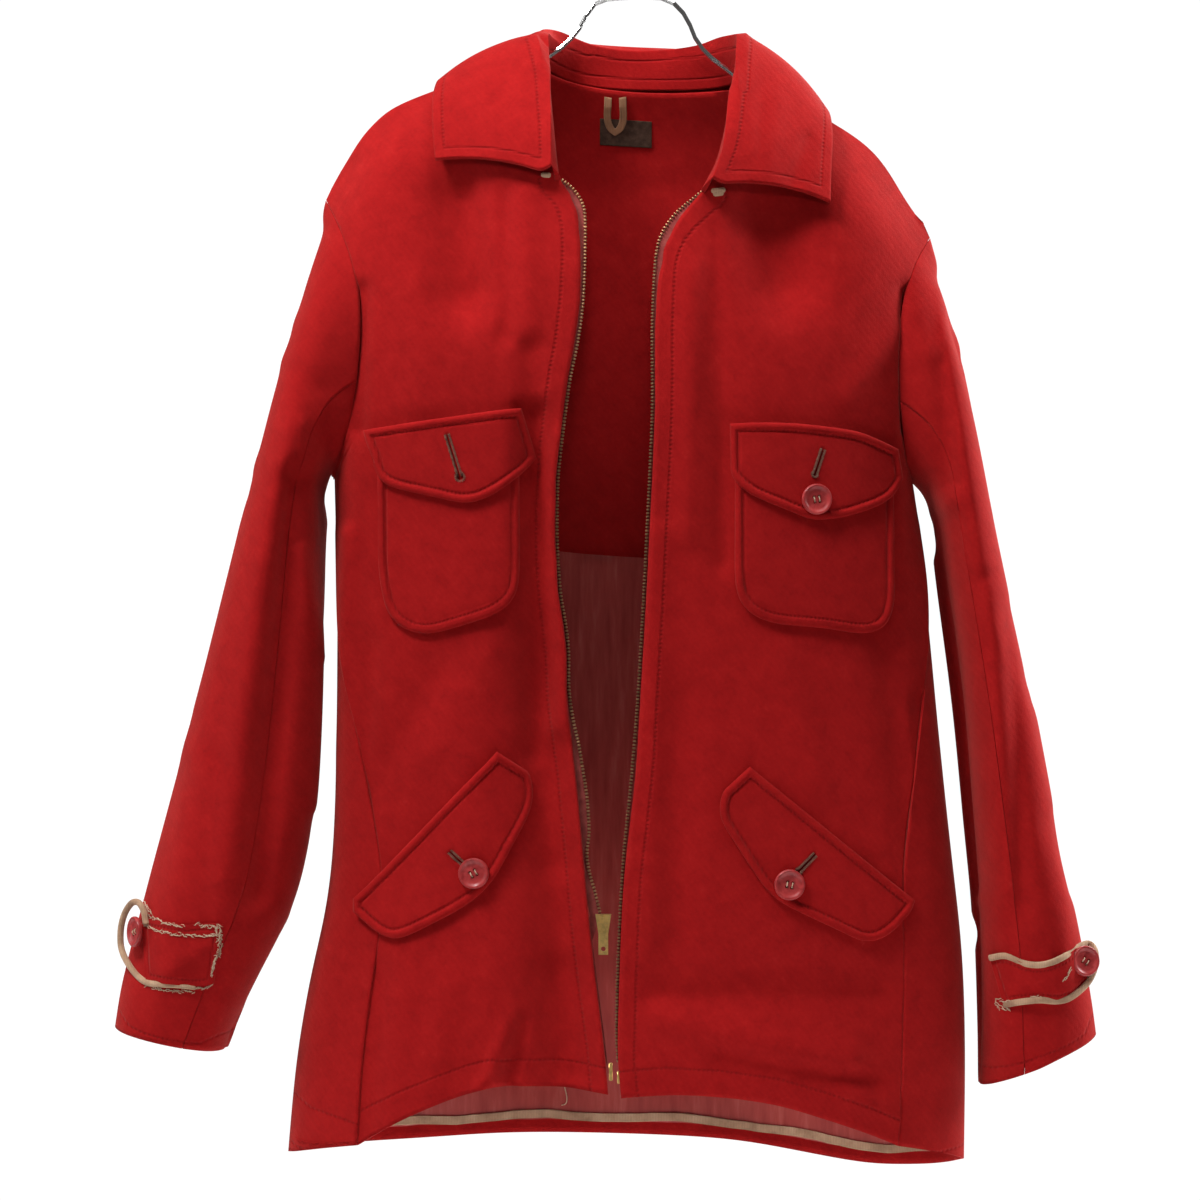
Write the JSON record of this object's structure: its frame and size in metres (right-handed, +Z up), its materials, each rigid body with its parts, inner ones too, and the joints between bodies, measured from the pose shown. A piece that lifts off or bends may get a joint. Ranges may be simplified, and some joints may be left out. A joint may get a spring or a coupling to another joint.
{
  "type": "hunting jacket on wire hanger",
  "caption": "Open zip-front wool hunting jacket with collar, flapped chest and slant pockets and buttoned cuff tabs, hung on a wire hanger.",
  "frame": {"origin": "top of the inside of the hanger's hook, where a rail carries it", "axes": "+Z up, -Y the front of the jacket, +X the wearer's left"},
  "size_m": [0.7403, 0.1861, 0.963],
  "materials": {
    "back": "napped fulled wool",
    "front_left": "napped fulled wool",
    "front_right": "napped fulled wool",
    "sleeve_top_left": "napped fulled wool",
    "sleeve_top_right": "napped fulled wool",
    "sleeve_under_left": "napped fulled wool",
    "sleeve_under_right": "napped fulled wool",
    "collar": "napped fulled wool",
    "chest_pocket_left": "napped fulled wool",
    "chest_pocket_right": "napped fulled wool",
    "chest_flap_left": "napped fulled wool",
    "chest_flap_right": "napped fulled wool",
    "lower_flap_left": "napped fulled wool",
    "lower_flap_right": "napped fulled wool",
    "cuff_tab_left": "napped fulled wool",
    "cuff_tab_right": "napped fulled wool",
    "lining_back": "rose satin or woven tape",
    "zip_tape_left": "rose satin or woven tape",
    "zip_tape_right": "rose satin or woven tape",
    "lining_binding": "tan woven tape",
    "cuff_binding_left": "tan woven tape",
    "cuff_binding_right": "tan woven tape",
    "hanging_loop": "tan woven tape",
    "label": "dark woven cloth, plain",
    "button_chest_left": "polished resin",
    "button_lower_left": "polished resin",
    "button_lower_right": "polished resin",
    "button_cuff_left": "polished resin",
    "button_cuff_right": "polished resin",
    "zip_slider": "worn brass",
    "zip_pull": "worn brass",
    "hanger_wire_front": "polished wire",
    "hanger_wire_back": "polished wire",
    "hanger_hook": "polished wire",
    "hanger_swivel": "polished wire"
  },
  "bodies": {
    "jacket_on_hanger": {"back": "back", "front_left": "front_left", "front_right": "front_right", "sleeve_top_left": "sleeve_top_left", "sleeve_top_right": "sleeve_top_right", "sleeve_under_left": "sleeve_under_left", "sleeve_under_right": "sleeve_under_right", "collar": "collar", "chest_pocket_left": "chest_pocket_left", "chest_pocket_right": "chest_pocket_right", "chest_flap_left": "chest_flap_left", "chest_flap_right": "chest_flap_right", "lower_flap_left": "lower_flap_left", "lower_flap_right": "lower_flap_right", "cuff_tab_left": "cuff_tab_left", "cuff_tab_right": "cuff_tab_right", "lining_back": "lining_back", "zip_tape_left": "zip_tape_left", "zip_tape_right": "zip_tape_right", "lining_binding": "lining_binding", "cuff_binding_left": "cuff_binding_left", "cuff_binding_right": "cuff_binding_right", "hanging_loop": "hanging_loop", "label": "label", "button_chest_left": "button_chest_left", "button_lower_left": "button_lower_left", "button_lower_right": "button_lower_right", "button_cuff_left": "button_cuff_left", "button_cuff_right": "button_cuff_right", "zip_slider": "zip_slider", "hanger_wire_front": "hanger_wire_front", "hanger_wire_back": "hanger_wire_back", "hanger_hook": "hanger_hook", "hanger_swivel": "hanger_swivel"},
    "pull_tab": {"zip_pull": "zip_pull"}
  },
  "joints": [
    {"name": "pull_tab_hinge", "type": "hinge", "parent": "jacket_on_hanger", "child": "pull_tab", "pos_m": [-0.0276, -0.09072, -0.762], "axis": [-1, 0, 0], "range_deg": [0, 120]}
  ]
}
